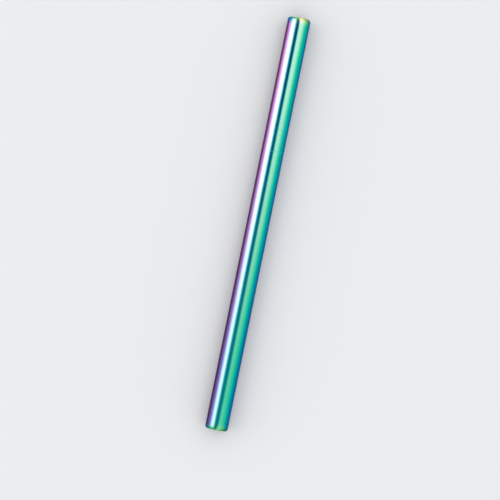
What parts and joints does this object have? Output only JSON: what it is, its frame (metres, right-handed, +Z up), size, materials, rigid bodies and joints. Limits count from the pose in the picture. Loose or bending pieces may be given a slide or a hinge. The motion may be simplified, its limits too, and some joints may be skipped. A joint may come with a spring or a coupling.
{
  "type": "drinking straw",
  "caption": "Wide straight reusable drinking straw of thin steel tube, with both ends rolled inwards to a rounded lip and a rainbow-coloured polished finish.",
  "frame": {"origin": "on the surface that the straw lies on, under the middle of its length", "axes": "+Y along the tube's axis, towards the drinking end (the two ends are alike), +Z up from the surface, +X across the tube"},
  "size_m": [0.012, 0.22, 0.012],
  "materials": {
    "coated_steel": "mirror-polished stainless steel under a thin iridescent coating that turns from magenta through blue and teal to green"
  },
  "bodies": {
    "root": {"straw_tube": "coated_steel"}
  },
  "joints": []
}
